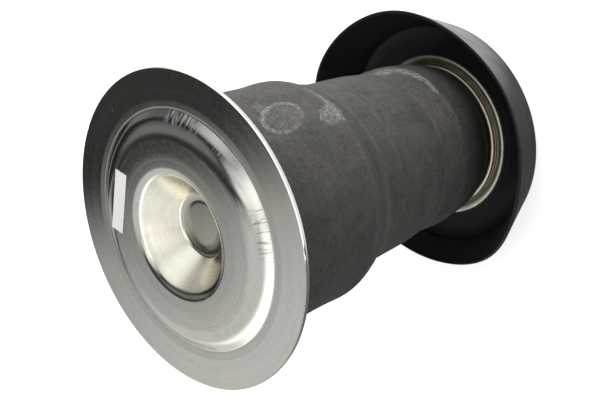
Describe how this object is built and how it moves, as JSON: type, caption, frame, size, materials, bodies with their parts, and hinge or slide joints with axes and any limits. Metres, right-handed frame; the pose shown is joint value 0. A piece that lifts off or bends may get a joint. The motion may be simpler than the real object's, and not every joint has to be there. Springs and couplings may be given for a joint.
{
  "type": "air bellows actuator",
  "caption": "Air bellows actuator: a stepped rubber sleeve between a pressed steel head plate with a centring cup and a black foot cup with a wavy rim.",
  "frame": {"origin": "centre of the foot cup's flat underside", "axes": "+Z along the stroke, from the foot cup to the head plate; the low side of the foot cup's rim faces -Y"},
  "size_m": [0.3004, 0.3004, 0.3796],
  "materials": {
    "zinc_plate": "satin zinc plating with draw marks",
    "zinc_ring": "pale satin zinc plating",
    "passivated_steel": "warm passivated zinc",
    "sleeve_rubber": "matte with a fine fabric texture and chalky scuffs",
    "black_moulding": "satin black",
    "core_steel": "plain drawn wire",
    "fastener_zinc": "bright zinc plating",
    "port_brass": "machined",
    "seal_rubber": "smooth black",
    "plug_plastic": "moulded red",
    "bump_rubber": "matte moulded black",
    "paper": "blank white paper strip"
  },
  "bodies": {
    "foot": {"foot_cup": "black_moulding", "bead_plate": "passivated_steel", "clamp_ring": "zinc_ring", "foot_stud_1": "fastener_zinc", "foot_stud_2": "fastener_zinc", "foot_stud_3": "fastener_zinc", "stud_washer_1": "fastener_zinc", "stud_washer_2": "fastener_zinc", "stud_washer_3": "fastener_zinc", "stud_nut_1": "fastener_zinc", "stud_nut_2": "fastener_zinc", "stud_nut_3": "fastener_zinc", "port_fitting": "port_brass", "port_nut": "port_brass", "port_seal": "seal_rubber", "port_plug": "plug_plastic", "bump_stop": "bump_rubber", "bump_stop_plate": "fastener_zinc", "bump_bolt": "fastener_zinc", "bump_bolt_washer": "fastener_zinc", "lower_bead_core": "core_steel", "bellows_sleeve": "sleeve_rubber"},
    "head": {"upper_bead_core": "core_steel", "head_plate": "zinc_plate", "retaining_ring": "zinc_ring", "label_strip": "paper"}
  },
  "joints": [
    {"name": "stroke", "type": "slide", "parent": "foot", "child": "head", "axis": [0, 0, 1], "range_m": [-0.24, 0.015], "stiffness_N_per_m": 3000, "springref_m": 0.008, "deforming": ["bellows_sleeve"]}
  ]
}
